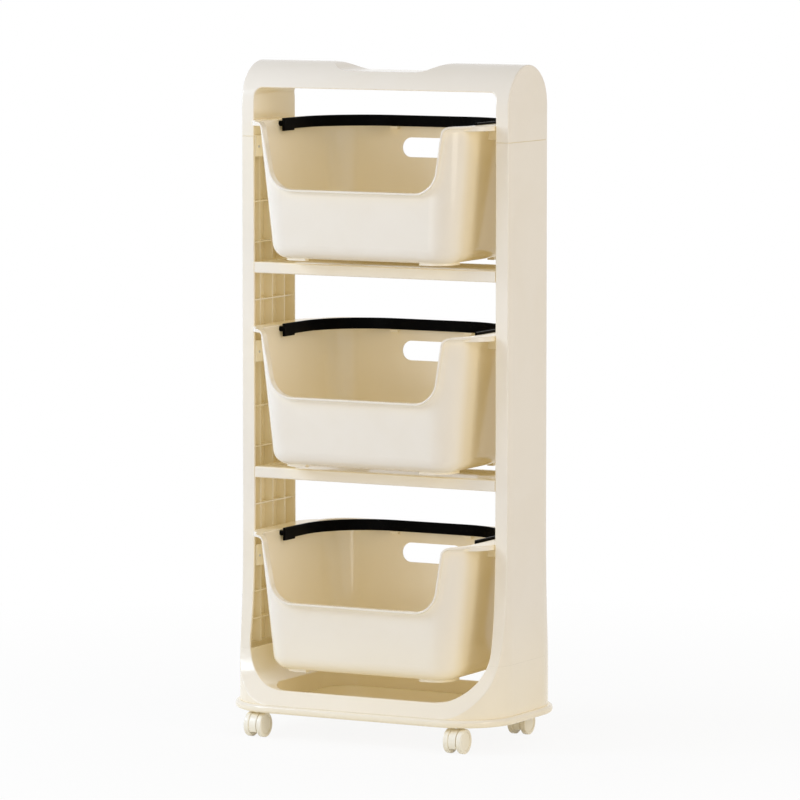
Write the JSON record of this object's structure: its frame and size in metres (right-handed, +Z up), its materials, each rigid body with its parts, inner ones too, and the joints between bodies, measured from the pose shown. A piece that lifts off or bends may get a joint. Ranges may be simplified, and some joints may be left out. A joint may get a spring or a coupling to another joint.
{
  "type": "storage organizer",
  "caption": "Slim upright storage rack on swivel casters, with a grip cap and tiers of lift-out scoop-front baskets that have folding bail handles.",
  "frame": {"origin": "on the floor under the middle of the rack", "axes": "+Z up, -Y to the front that the basket scoops face, +X to the right seen from the front"},
  "size_m": [0.441, 0.2604, 0.9575],
  "materials": {
    "frame_plastic": "glossy moulded cream",
    "basket_plastic": "glossy moulded cream",
    "bail_plastic": "satin black",
    "caster_plastic": "glossy cream",
    "socket_plastic": "plain moulded",
    "steel": "zinc plated"
  },
  "bodies": {
    "frame": {"top_cap": "frame_plastic", "side_panel_right": "frame_plastic", "side_panel_left": "frame_plastic", "base_frame": "frame_plastic", "base_plate": "frame_plastic", "shelf_1": "frame_plastic", "shelf_2": "frame_plastic", "rail_1_right": "frame_plastic", "rail_1_left": "frame_plastic", "rail_2_right": "frame_plastic", "rail_2_left": "frame_plastic", "rail_3_right": "frame_plastic", "rail_3_left": "frame_plastic", "caster_front_left_socket": "socket_plastic", "caster_front_right_socket": "socket_plastic", "caster_rear_left_socket": "socket_plastic", "caster_rear_right_socket": "socket_plastic", "base_screws": "steel"},
    "basket_1_body": {"basket_1": "basket_plastic"},
    "bail_1_body": {"bail_1": "bail_plastic"},
    "basket_2_body": {"basket_2": "basket_plastic"},
    "bail_2_body": {"bail_2": "bail_plastic"},
    "basket_3_body": {"basket_3": "basket_plastic"},
    "bail_3_body": {"bail_3": "bail_plastic"},
    "caster_front_left_swivel_body": {"caster_front_left_stem": "steel", "caster_front_left_hood": "caster_plastic"},
    "caster_front_left_wheels_body": {"caster_front_left_axle": "steel", "caster_front_left_wheel_left": "caster_plastic", "caster_front_left_wheel_right": "caster_plastic"},
    "caster_front_right_swivel_body": {"caster_front_right_stem": "steel", "caster_front_right_hood": "caster_plastic"},
    "caster_front_right_wheels_body": {"caster_front_right_axle": "steel", "caster_front_right_wheel_left": "caster_plastic", "caster_front_right_wheel_right": "caster_plastic"},
    "caster_rear_left_swivel_body": {"caster_rear_left_stem": "steel", "caster_rear_left_hood": "caster_plastic"},
    "caster_rear_left_wheels_body": {"caster_rear_left_axle": "steel", "caster_rear_left_wheel_left": "caster_plastic", "caster_rear_left_wheel_right": "caster_plastic"},
    "caster_rear_right_swivel_body": {"caster_rear_right_stem": "steel", "caster_rear_right_hood": "caster_plastic"},
    "caster_rear_right_wheels_body": {"caster_rear_right_axle": "steel", "caster_rear_right_wheel_left": "caster_plastic", "caster_rear_right_wheel_right": "caster_plastic"}
  },
  "joints": [
    {"name": "basket_1_pull_out", "type": "slide", "parent": "frame", "child": "basket_1_body", "axis": [0, -1, 0], "range_m": [0, 0.24]},
    {"name": "bail_1_swing", "type": "hinge", "parent": "basket_1_body", "child": "bail_1_body", "pos_m": [0, -0.04, 0.869], "axis": [1, 0, 0], "range_deg": [0, 22]},
    {"name": "basket_2_pull_out", "type": "slide", "parent": "frame", "child": "basket_2_body", "axis": [0, -1, 0], "range_m": [0, 0.24]},
    {"name": "bail_2_swing", "type": "hinge", "parent": "basket_2_body", "child": "bail_2_body", "pos_m": [0, -0.04, 0.5765], "axis": [1, 0, 0], "range_deg": [0, 34]},
    {"name": "basket_3_pull_out", "type": "slide", "parent": "frame", "child": "basket_3_body", "axis": [0, -1, 0], "range_m": [0, 0.24]},
    {"name": "bail_3_swing", "type": "hinge", "parent": "basket_3_body", "child": "bail_3_body", "pos_m": [0, -0.04, 0.284], "axis": [1, 0, 0], "range_deg": [0, 34]},
    {"name": "caster_front_left_swivel", "type": "hinge", "parent": "frame", "child": "caster_front_left_swivel_body", "pos_m": [-0.16, -0.0985, 0.037], "axis": [0, 0, 1], "continuous": true},
    {"name": "caster_front_left_roll", "type": "hinge", "parent": "caster_front_left_swivel_body", "child": "caster_front_left_wheels_body", "pos_m": [-0.16, -0.11, 0.0175], "axis": [1, 0, 0], "continuous": true},
    {"name": "caster_front_right_swivel", "type": "hinge", "parent": "frame", "child": "caster_front_right_swivel_body", "pos_m": [0.16, -0.0985, 0.037], "axis": [0, 0, 1], "continuous": true},
    {"name": "caster_front_right_roll", "type": "hinge", "parent": "caster_front_right_swivel_body", "child": "caster_front_right_wheels_body", "pos_m": [0.16, -0.11, 0.0175], "axis": [1, 0, 0], "continuous": true},
    {"name": "caster_rear_left_swivel", "type": "hinge", "parent": "frame", "child": "caster_rear_left_swivel_body", "pos_m": [-0.16, 0.0985, 0.037], "axis": [0, 0, 1], "continuous": true},
    {"name": "caster_rear_left_roll", "type": "hinge", "parent": "caster_rear_left_swivel_body", "child": "caster_rear_left_wheels_body", "pos_m": [-0.16, 0.087, 0.0175], "axis": [1, 0, 0], "continuous": true},
    {"name": "caster_rear_right_swivel", "type": "hinge", "parent": "frame", "child": "caster_rear_right_swivel_body", "pos_m": [0.16, 0.0985, 0.037], "axis": [0, 0, 1], "continuous": true},
    {"name": "caster_rear_right_roll", "type": "hinge", "parent": "caster_rear_right_swivel_body", "child": "caster_rear_right_wheels_body", "pos_m": [0.16, 0.087, 0.0175], "axis": [1, 0, 0], "continuous": true}
  ]
}
